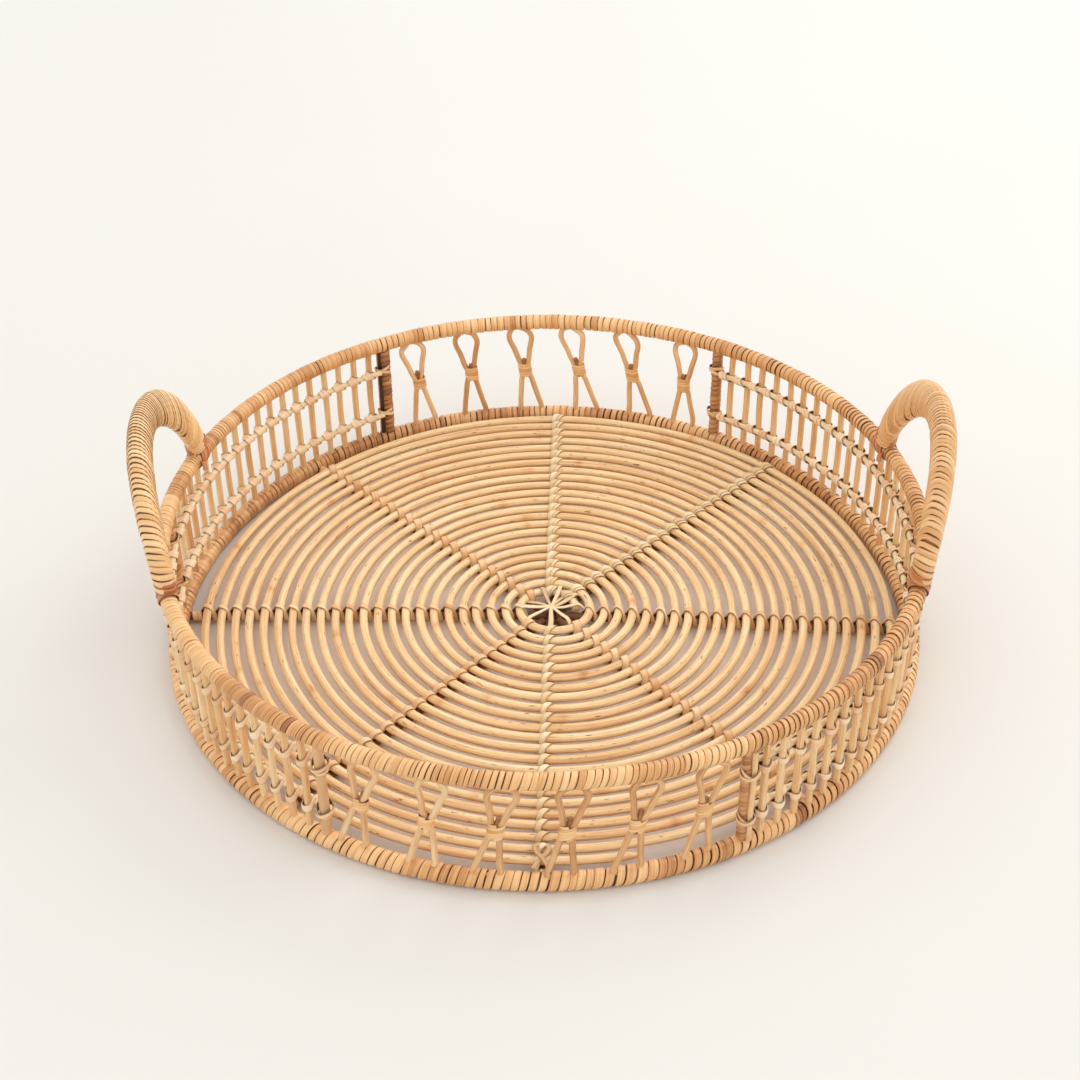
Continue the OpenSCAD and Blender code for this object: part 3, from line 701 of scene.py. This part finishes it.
def standStakes(panel):
    rng = np.random.default_rng(51 + panels[panel])
    bundle = Bundle("stake_canes_" + panel)
    start = wallTurn + math.radians(panels[panel])
    low, high = footWrap - stakeLook["inHoop"], wallLength - rimWrap + stakeLook["inRim"]
    for k in range(1, stakeGaps):
        up = np.linspace(low, high, 15)
        bow = np.sin(math.pi * (up - low) / (high - low))
        aside = bow * rng.normal() * 0.45 * mm + wander(rng, up, 3, 0.08, 0.03) * 0.15 * mm
        out = bow * (0.2 + 0.2 * rng.random()) * mm
        thick = stakeLook["r"] * (0.98 + 0.04 * rng.normal() + 0.03 * wander(rng, up, 3, 0.09, 0.03))
        tone = 0.56 + 0.12 * rng.normal() + 0.06 * wander(rng, up, 3, 0.08, 0.02)
        angle = start + k * stakeStep
        path = wallPath(angle, np.stack([out, aside, up], 1))
        bundle.strand(path, wallDirs(angle, [(1, 0, 0)])[0], thinCaneSection, thick, thick, tone,
                      start=rng.random())
    bundle.build(finishes["stake"], "stakes_" + panel, "stake_cane", 70)


def layRods(panel):
    rng = np.random.default_rng(61 + panels[panel])
    bundle = Bundle("lattice_canes_" + panel)
    start = wallTurn + math.radians(panels[panel])
    gap = latticeLook["endGap"] / footR
    for up in rodUps:
        angles = np.linspace(start + gap, start + panelAngle - gap, 60)
        along = (angles - start) * footR
        rise = up + wander(rng, along, 4, 0.12, 0.02) * 0.25 * mm
        path = np.array([wallPoint(a, u, -rodInset) for a, u in zip(angles, rise)])
        thick = latticeLook["rodR"] * (1 + 0.04 * wander(rng, along, 4, 0.09, 0.02))
        tone = 0.62 + 0.12 * wander(rng, along, 4, 0.12, 0.02)
        bundle.strand(path, (0, 0, 1), thinCaneSection, thick, thick, tone, start=rng.random())
    bundle.build(finishes["paleRod"], "lattice_rods_" + panel, "pale_rod", 70)


# round the outside of a stake, then slanting over the rod beside it: out, aside, up in mm
strapRoute = [(2.5, 0.0, -2.6), (1.8, 2.0, -1.7), (0.0, 2.7, -0.1), (-2.1, 3.0, 1.4), (-3.6, 3.2, 2.05),
              (-4.9, 2.7, 1.0), (-5.2, 1.6, -0.3), (-4.3, 0.4, -1.75), (-3.1, -0.9, -2.1), (-1.5, -2.3, -2.1),
              (0.2, -2.7, -2.0), (1.8, -2.0, -2.3)]
strapOut = [(1, 0, -0.1), (0.8, 0.7, 0), (0.1, 1, 0.2), (-0.1, 0.7, 0.8), (-0.3, 0.1, 1), (-1, 0, 0.3),
            (-1, 0, -0.3), (-0.5, 0, -1), (0, -0.2, -1), (0, -0.8, -0.7), (0.2, -1, 0), (0.8, -0.7, 0)]
# a second turn that only takes the rod
coverRoute = [(-4.95, 5.2, 0.9), (-5.1, 4.3, -0.6), (-3.95, 3.5, -1.9), (-2.35, 3.3, -1.4),
              (-1.65, 4.1, 0.4), (-2.65, 5.1, 1.8), (-4.0, 5.6, 1.85)]
coverOut = [(-1, 0, 0.5), (-1, 0, -0.3), (-0.3, 0, -1), (0.8, 0, -0.7), (1, 0, 0.2), (0.5, 0, 1),
            (-0.4, 0, 1)]


def tieLattice(panel):
    rng = np.random.default_rng(71 + panels[panel])
    bundle = Bundle("lattice_straps_" + panel)
    start = wallTurn + math.radians(panels[panel])
    for k in range(1, stakeGaps):
        angle = start + k * stakeStep
        for up in rodUps:
            tone = 0.6 + 0.16 * rng.normal()
            for route, outs in ((strapRoute, strapOut), (coverRoute, coverOut)):
                rows = np.array(route) * mm + rng.normal(size=(len(route), 3)) * 0.08 * mm
                rows[:, 2] += up
                path = wallPath(angle, curveThrough(rows, 3, True))
                out = wallDirs(angle, unit(curveThrough(outs, 3, True)))
                half = latticeLook["strapWide"] / 2 * (1 + 0.1 * rng.normal())
                if route is strapRoute:
                    # flattened wider where it bears on the outside of the stake
                    half = half * (1 + 0.4 * np.clip(curveThrough(outs, 3, True)[:, 0], 0, 1))
                bundle.strand(path, out, peelSection, half, latticeLook["strapThick"], tone, closed=True,
                              start=rng.random())
    bundle.build(finishes["latticePeel"], "lattice_lashing_" + panel, "lattice_peel")


for panel in panels:
    standStakes(panel)
    layRods(panel)
    tieLattice(panel)
print("wall panels stand,", stakeGaps - 1, "stakes each")


# one entry a post: tone, radius of its winding, and where a bare cane stands beside it (out, aside in mm)
postLook = {"pitch": 3.4 * mm, "thick": 0.45 * mm, "besideR": 1.7 * mm, "loopR": 3.9 * mm,
            "loopWide": 1.1 * mm, "loopThick": 0.4 * mm, "loopDip": 1.6 * mm, "loopLean": 1.7 * mm,
            0: (0.5, 3.1, None), 60: (0.4, 3.2, None), 120: (0.3, 3.3, (0.2, 3.6)), 180: (0.5, 3.1, None),
            240: (0.6, 0, None), 300: (0.42, 2.8, (2.6, 1.6))}


def wrapPost(bundle, degrees):
    # brown peel wound up the post, with pale loops where the rods end
    rng = np.random.default_rng(81 + degrees)
    angle = wallTurn + math.radians(degrees)
    shade, wrapR, beside = postLook[degrees]
    low, high = footWrap - 0.6 * mm, wallLength - rimWrap + 0.6 * mm
    turns = round((high - low) / postLook["pitch"])
    turn = np.arange(turns * 14 + 1) / 14
    around = 2 * math.pi * turn + rng.random() * 6
    up = low + (high - low) * turn / turns
    r = wrapR * mm - postLook["thick"] + 0.2 * mm * wander(rng, turn, 4, 6, 0.8)
    out = np.stack([np.cos(around), np.sin(around), 0 * around], 1)
    if wrapR:
        path = wallPath(angle, np.column_stack([out[:, :2] * r[:, None], up]))
        half = postLook["pitch"] * 0.47 * (1 + 0.12 * wander(rng, turn, 4, 5, 0.9))
        tone = shade + 0.16 * wander(rng, turn, 5, 5, 0.5)
        bundle.strand(path, wallDirs(angle, out + np.array([0, 0, 0.15])), peelSection, half,
                      postLook["thick"], tone, start=rng.random())
    if beside:
        up = np.linspace(low, high, 9)
        aside = beside[1] * mm + 0.3 * mm * wander(rng, up, 3, 0.1, 0.04)
        rows = np.stack([0 * up + beside[0] * mm, aside, up], 1)
        bundle.strand(wallPath(angle, rows), wallDirs(angle, [(1, 0, 0)])[0], thinCaneSection,
                      postLook["besideR"], postLook["besideR"], 0.85, start=rng.random())
    for rodUp in rodUps:
        for lean in (1, -1):
            t = np.linspace(0, 2 * math.pi, 19)[:-1]
            hoop = np.stack([np.cos(t), np.sin(t), 0 * t], 1)
            rows = hoop * (postLook["loopR"] + 0.5 * mm * (lean == 1))
            rows[:, 0] += (beside[0] * 0.5 * mm if beside else 0) - 0.3 * mm
            rows[:, 1] += beside[1] * 0.5 * mm if beside else 0
            rows[:, 2] = rodUp - postLook["loopDip"] * np.cos(t)
            rows[:, 2] += lean * postLook["loopLean"] * np.sin(t + 0.4) + rng.normal() * 0.4 * mm
            bundle.strand(wallPath(angle, rows), wallDirs(angle, hoop), peelSection, postLook["loopWide"],
                          postLook["loopThick"], 0.9 + 0.1 * rng.normal(), closed=True, start=rng.random())


for name, node, turnsAt in (("post_peel_side", "post_wraps_side", (0, 180)),
                            ("post_peel_corner", "post_wraps_corner", (60, 120, 240, 300))):
    bundle = Bundle(name)
    for degrees in turnsAt:
        wrapPost(bundle, degrees)
    bundle.build(finishes["postPeel"], node, "post_peel")
print("posts wrapped")


fretLook = {"count": 6, "r": 1.6 * mm, "wide": 16.4 * mm, "endShare": 0.65, "tieTurns": 4,
            "tiePitch": 1.75 * mm, "tieDeep": 2.25 * mm, "tieWide": 3.75 * mm, "tiePeel": 0.92 * mm,
            "tieThick": 0.4 * mm, "tilt": {"back": 0.13, "front": 0.2}}
fretStep = panelAngle / (fretLook["count"] - 1 + 2 * fretLook["endShare"])
fretMid = (footWrap + wallLength - rimWrap) / 2
fretTop = wallLength - rimWrap + 0.9 * mm - fretMid


def bendFret(side, k):
    # one cane bent into an hourglass, with its two ends left standing at the waist
    rng = np.random.default_rng(91 + k + (50 if side == "front" else 0))
    angle = wallTurn + math.radians(90 if side == "back" else 270)
    angle += (k - (fretLook["count"] + 1) / 2) * fretStep
    w = fretLook["wide"] / 2 - fretLook["r"]
    top = fretTop
    tilt = fretLook["tilt"][side] + rng.normal() * 0.05
    lean = rng.normal() * 0.5 * mm
    near = fretLook["r"] * 1.02
    half = [(near, 2.5 * mm), (near + 1.4 * mm, 6.5 * mm), (w * 0.68, 13.5 * mm), (w * 0.98, top - 8.2 * mm),
            (w * 0.94, top - 4.6 * mm), (w * 0.62, top - 1.5 * mm), (w * 0.2, top)]
    lowHalf = [(near, 2.5 * mm), (near + 1.2 * mm, 6.5 * mm), (w * 0.6, 13 * mm), (w * 0.86, top - 6 * mm),
               (w * 0.97, top - 2 * mm), (w * 0.76, top + 1.6 * mm), (w * 0.25, top + 2.4 * mm)]
    rows = []
    for flip, mirror in ((1, 1), (1, -1), (-1, -1), (-1, 1)):
        quarter = [(y * mirror, u * flip) for y, u in (half if flip == 1 else lowHalf)]
        rows += quarter if (flip == 1) == (mirror == 1) else quarter[::-1]
    rows = np.array(rows) * (1 + rng.normal(size=(len(rows), 2)) * 0.02)
    rows[:, 0] += lean + tilt * rows[:, 1]
    path = curveThrough(np.column_stack([0 * rows[:, 0], rows[:, 0], rows[:, 1] + fretMid]), 4, True)
    # the canes cross at the waist, one in front of the other
    path[:, 0] += 0.35 * mm * np.sin(np.arange(len(path)) / len(path) * 4 * math.pi)
    thick = fretLook["r"] * (1 + 0.04 * wander(rng, np.arange(len(path)), 3, 60, 12))
    bundle = Bundle("fret_loop_%s_%d" % (side, k))
    tone = 0.5 + 0.1 * rng.normal() + 0.12 * wander(rng, np.arange(len(path)), 3, 70, 10)
    outward = wallDirs(angle, [(1, 0, 0)])[0]
    bundle.strand(wallPath(angle, path), outward, thinCaneSection, thick, thick, tone, closed=True,
                  start=rng.random())
    for up in (1, -1):
        reach = (5.6 + 2.6 * rng.random()) * mm if up == 1 else (4.0 + 1.5 * rng.random()) * mm
        end = np.linspace(0, 1, 6)[:, None]
        foot = np.array([(0.5 if up == 1 else -0.5) * mm, 0, fretMid])
        tip = np.array([-0.9 * up * mm, up * tilt * reach + rng.normal() * 0.5 * mm, fretMid + up * reach])
        stub = foot + (tip - foot) * end
        size = fretLook["r"] * np.linspace(0.95, 0.8, 6)
        bundle.strand(wallPath(angle, stub), outward, thinCaneSection, size, size, np.linspace(0.3, -0.05, 6),
                      start=rng.random())
    bundle.build(finishes["fret"], "fret_%s_%d" % (side, k), "fret_cane", 70)
    return angle, tilt


def tieFrets(side, loops):
    rng = np.random.default_rng(111 + len(side))
    bundle = Bundle("fret_ties_peel_" + side)
    for angle, tilt in loops:
        turns = fretLook["tieTurns"] + (rng.random() > 0.5)
        t = np.arange(turns * 16 + 1) / 16
        around = 2 * math.pi * t
        up = (t - turns / 2) * fretLook["tiePitch"]
        aside = np.sin(around) * fretLook["tieWide"] + tilt * up
        rows = np.stack([np.cos(around) * fretLook["tieDeep"], aside,
                         fretMid + up + 0.5 * mm * np.sin(around + rng.random())], 1)
        outs = np.stack([np.cos(around), np.sin(around) * 0.7, 0 * around], 1)
        tone = 0.55 + 0.2 * wander(rng, t, 3, 4, 1)
        bundle.strand(wallPath(angle, rows), wallDirs(angle, unit(outs)), peelSection, fretLook["tiePeel"],
                      fretLook["tieThick"], tone, start=rng.random())
    bundle.build(finishes["fretPeel"], "fret_ties_" + side, "fret_peel")


for side in ("back", "front"):
    loops = [bendFret(side, k) for k in range(1, fretLook["count"] + 1)]
    tieFrets(side, loops)
print("fret loops bent")


handleLook = {"span": 122 * mm, "rise": 55 * mm, "lean": 4 * mm, "crownDeep": 18 * mm, "footDeep": 11.5 * mm,
              "crownWide": 10.5 * mm, "footWide": 8 * mm, "wrap": 1.2 * mm, "footTie": 1 * mm, "point": 1.35,
              "legPitch": 3.3 * mm, "crownPitch": 1.8 * mm, "fan": 0.42, "slant": 1.5 * mm,
              "thick": 0.55 * mm, "lift": 0.22 * mm, "toneRight": 0.5, "toneLeft": 0.66}
handleAngle = math.asin(handleLook["span"] / 2 / rimR)
handleBase = rimZ + rimWrap + handleLook["footTie"]


def archAt(t):
    # right-hand handle's centreline, t from 0 to pi
    t = np.clip(t, 0, math.pi)
    rise = np.sin(t) ** handleLook["point"]
    angle = handleAngle * np.cos(t)
    r = rimR + handleLook["lean"] * rise
    return np.stack([r * np.cos(angle), r * np.sin(angle), handleBase + handleLook["rise"] * rise], -1), rise


def turnedRound(v, flip):
    # the left handle is the right one, turned half round the tray
    return v * (-1, -1, 1) if flip else v


def wrapHandle(name, node, flip, seed):
    rng = np.random.default_rng(seed)
    fine = np.linspace(0, math.pi, 2001)
    centre, rise = archAt(fine)
    length = np.concatenate([[0], np.cumsum(np.linalg.norm(np.diff(centre, axis=0), axis=1))])
    crown = np.clip(np.sin(fine) ** 3, 0, 1)
    pitch = handleLook["legPitch"] + (handleLook["crownPitch"] - handleLook["legPitch"]) * crown
    count = np.concatenate([[0], np.cumsum(np.diff(length) / ((pitch[1:] + pitch[:-1]) / 2))])
    turns = int(count[-1])
    count *= turns / count[-1]
    jitter = np.concatenate([[0], rng.normal(size=turns - 1) * 0.09, [0]])
    turn = np.arange(turns * 18 + 1) / 18
    at = np.interp(turn + np.interp(turn, np.arange(turns + 1), jitter), count, fine)
    around = 2 * math.pi * turn + math.pi
    inner = (1 - np.cos(around)) / 2
    fan = handleLook["fan"] * (1 + 0.25 * wander(rng, turn, 4, 20, 3))
    slant = handleLook["slant"] / length[-1] * math.pi * np.sin(around) * np.abs(np.sin(at)) ** 0.5
    # over the inner face the turns run down towards the feet
    spread = np.sin(2 * at) * np.abs(np.sin(at)) ** 0.7 * inner ** 1.6
    at = np.clip(at - fan * spread + slant, 0.0, math.pi)
    centre, rise = archAt(at)
    along = unit(archAt(at + 0.01)[0] - archAt(at - 0.01)[0])
    out = unit(np.cross(along, (1.0, 0, 0)))
    across = np.cross(out, along)
    deep = handleLook["footDeep"] + (handleLook["crownDeep"] - handleLook["footDeep"]) * rise
    wide = handleLook["footWide"] + (handleLook["crownWide"] - handleLook["footWide"]) * rise
    lift = np.interp(turn, np.arange(turns) + 0.5, rng.random(turns))
    proud = handleLook["wrap"] - handleLook["thick"] + handleLook["lift"] * lift
    c, s = np.cos(around)[:, None], np.sin(around)[:, None]
    a, b = (deep / 2 + proud)[:, None], (wide / 2 + proud)[:, None]
    path = centre + out * a * c + across * b * s
    away = unit(out * c * b + across * s * a)
    cover = np.interp(turn, np.arange(turns) + 0.5, 0.55 - 0.07 * (rng.random(turns) < 0.3))
    half = np.interp(at, fine, pitch) * cover
    bundle = Bundle(name)
    tones = handleLook["toneLeft" if flip else "toneRight"] + 0.09 * rng.normal(size=turns + 1)
    tone = tones[turn.astype(int)]
    path, away = turnedRound(path, flip), turnedRound(away, flip)
    # each turn laps a little over the next one
    away = away + 0.16 * along * (-1 if flip else 1)
    bundle.strand(path, away, peelSection, half, handleLook["thick"], tone, start=rng.random())
    bundle.build(finishes["handlePeel"], node, "handle_peel")
    print(name, turns, "turns")


wrapHandle("handle_peel_right", "handle_wrap_right", False, 121)
wrapHandle("handle_peel_left", "handle_wrap_left", True, 122)


# turns that hold a foot down on the rim, thin turns round the foot itself, and the cut end
footTieLook = {"turns": 4, "pitch": 2.3 * mm, "slant": 2.4 * mm, "wide": 1.25 * mm, "thick": 0.45 * mm,
               "thinTurns": 5, "thinFrom": 0.035, "thinStep": 0.03, "thinOut": 1.1 * mm,
               "thinWide": 0.85 * mm, "thinThick": 0.4 * mm, "thinSlant": 1.4 * mm, "endAt": 5 * mm,
               "endWide": 1.2 * mm}


def tieFeet(name, node, flip, seed):
    look = footTieLook
    rng = np.random.default_rng(seed)
    bundle = Bundle(name)
    t = np.linspace(0, 2 * math.pi, 25)[:-1]
    for foot in (1, -1):
        for k in range(look["turns"]):
            angle = foot * (handleAngle + (k - (look["turns"] - 1) / 2) * look["pitch"] / rimR)
            r = rimWrap + (0.5 + 0.25 * (k % 2)) * mm
            a = angle + look["slant"] * np.sin(t) * foot / rimR
            ring = rimR + r * np.cos(t)
            high = rimZ + (r + 0.6 * mm * (np.sin(t) > 0)) * np.sin(t)
            path = turnedRound(np.stack([ring * np.cos(a), ring * np.sin(a), high], 1), flip)
            away = turnedRound(np.stack([np.cos(t) * np.cos(a), np.cos(t) * np.sin(a), np.sin(t)], 1), flip)
            bundle.strand(path, away, peelSection, look["wide"], look["thick"], 0.45 + 0.12 * rng.normal(),
                          closed=True, start=rng.random())
        for k in range(look["thinTurns"]):
            at = look["thinFrom"] + look["thinStep"] * k
            middle, rise = archAt(at if foot == 1 else math.pi - at)
            a, b = handleLook["footDeep"] / 2 + look["thinOut"], handleLook["footWide"] / 2 + look["thinOut"]
            outward = np.array([math.cos(foot * handleAngle), math.sin(foot * handleAngle), 0])
            aside = np.array([-outward[1], outward[0], 0])
            path = middle + outward * b * np.cos(t)[:, None] + aside * a * np.sin(t)[:, None]
            path[:, 2] += look["thinSlant"] * np.sin(t + 1.2) * foot
            away = outward * np.cos(t)[:, None] + aside * np.sin(t)[:, None]
            path, away = turnedRound(path, flip), turnedRound(away, flip)
            bundle.strand(path, away, peelSection, look["thinWide"], look["thinThick"],
                          0.4 + 0.14 * rng.normal(), closed=True, start=rng.random())
        inside = rimR - rimWrap
        rows = [(inside, 0, rimZ - 1 * mm), (inside - 1.6 * mm, -foot * 1.5 * mm, rimZ + 1 * mm),
                (inside - 3.4 * mm, -foot * 3.4 * mm, rimZ + 0.6 * mm),
                (inside - 4.6 * mm, -foot * 5.4 * mm, rimZ - 0.9 * mm)]
        path = turnedRound(turnedBy(foot * (handleAngle - look["endAt"] / rimR), curveThrough(rows, 5)), flip)
        bundle.strand(path, (0, 0, 1), peelSection, look["endWide"], look["thick"], 0.4, start=rng.random())
    bundle.build(finishes["footTie"], node, "foot_peel")


tieFeet("foot_lashing_right", "handle_foot_ties_right", False, 131)
tieFeet("foot_lashing_left", "handle_foot_ties_left", True, 132)
print("handles wrapped")

# the canes that stay as they are in the frame
keptCanes = {"lower_hoop": "hoopCore", "rim_hoop": "hoopCore", "spoke_rod_": "spokeRod", "post_": "postCore",
             "handle_core_": "handleCore"}
for start, finish in keptCanes.items():
    for name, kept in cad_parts.items():
        if name == start or (start.endswith("_") and name.startswith(start) and "wraps" not in name):
            for slot in kept.material_slots:
                slot.material = finishes[finish]

camLook = {"lens": 68.2, "elevation": 39.374, "away": 1.10557, "pitch": 2.246, "roll": -0.719,
           "shift": -0.0026}
cam = bpy.data.objects.new("camera", bpy.data.cameras.new("camera"))
cam.data.lens = camLook["lens"]
cam.data.sensor_width = 36
cam.data.shift_x = camLook["shift"]
rise = math.radians(camLook["elevation"])
stand = Vector((0, -camLook["away"] * math.cos(rise), camLook["away"] * math.sin(rise)))
cam.matrix_world = (Matrix.Translation(stand)
                    @ Matrix.Rotation(math.radians(90 - camLook["elevation"] + camLook["pitch"]), 4, "X")
                    @ Matrix.Rotation(math.radians(camLook["roll"]), 4, "Z"))
bpy.context.scene.collection.objects.link(cam)
bpy.context.scene.camera = cam


# under, underIn, underOut: colour of the painted light on the floor under the tray, the radius where it is
# full and the radius where it ends
floorLook = {"size": 6.0, "down": 0.2 * mm, "paper": (dye(225, 223, 219), dye(221, 218, 213)),
             "under": dye(254, 247, 237), "underIn": 165 * mm, "underOut": 196 * mm}


def layFloor():
    mesh = bpy.data.meshes.new("floor")
    size = floorLook["size"]
    corners = [(-size, -size, 0), (size, -size, 0), (size, size, 0), (-size, size, 0)]
    mesh.from_pydata(corners, [], [(0, 1, 2, 3)])
    shade = Shade("floor_paper")
    place = shade.node("ShaderNodeTexCoord", None, None, 3)
    cloud = shade.noise(place, 2.5, 3.0, 0.6)
    colour = shade.mix(cloud, *floorLook["paper"])
    # painted light: the floor is paler in a disc under the tray, where the tray keeps the light off it
    reach = shade.node("ShaderNodeVectorMath", {"operation": "LENGTH"}, {0: place}, 1)
    under = shade.smooth(0 - reach, -floorLook["underOut"], -floorLook["underIn"])
    colour = shade.mix(under, colour, floorLook["under"])
    mesh.materials.append(shade.finish(colour, 0.85, cloud, 0.0001))
    floor = bpy.data.objects.new("floor", mesh)
    floor.location.z = -floorLook["down"]
    bpy.context.scene.collection.objects.link(floor)


layFloor()

lightLook = {"sky": dye(253, 252, 250), "skyPower": 1.14, "lamp": dye(255, 253, 249),
             "key": 13, "keyFrom": (1.3, 1.0, 1.5), "keySize": 1.3,
             "fill": 1.5, "fillFrom": (-1.6, -1.4, 1.4), "fillSize": 2.2}
world = bpy.data.worlds.new("studio")
world.use_nodes = True
world.node_tree.nodes["Background"].inputs[0].default_value = lightLook["sky"]
world.node_tree.nodes["Background"].inputs[1].default_value = lightLook["skyPower"]
bpy.context.scene.world = world
for name in ("key", "fill"):
    lamp = bpy.data.lights.new(name, "AREA")
    lamp.energy = lightLook[name]
    lamp.size = lightLook[name + "Size"]
    lamp.color = lightLook["lamp"][:3]
    holder = bpy.data.objects.new(name, lamp)
    holder.location = lightLook[name + "From"]
    holder.rotation_euler = (-Vector(lightLook[name + "From"])).to_track_quat("-Z", "Y").to_euler()
    bpy.context.scene.collection.objects.link(holder)
bpy.context.scene.view_settings.view_transform = "Standard"

print("scene ready")
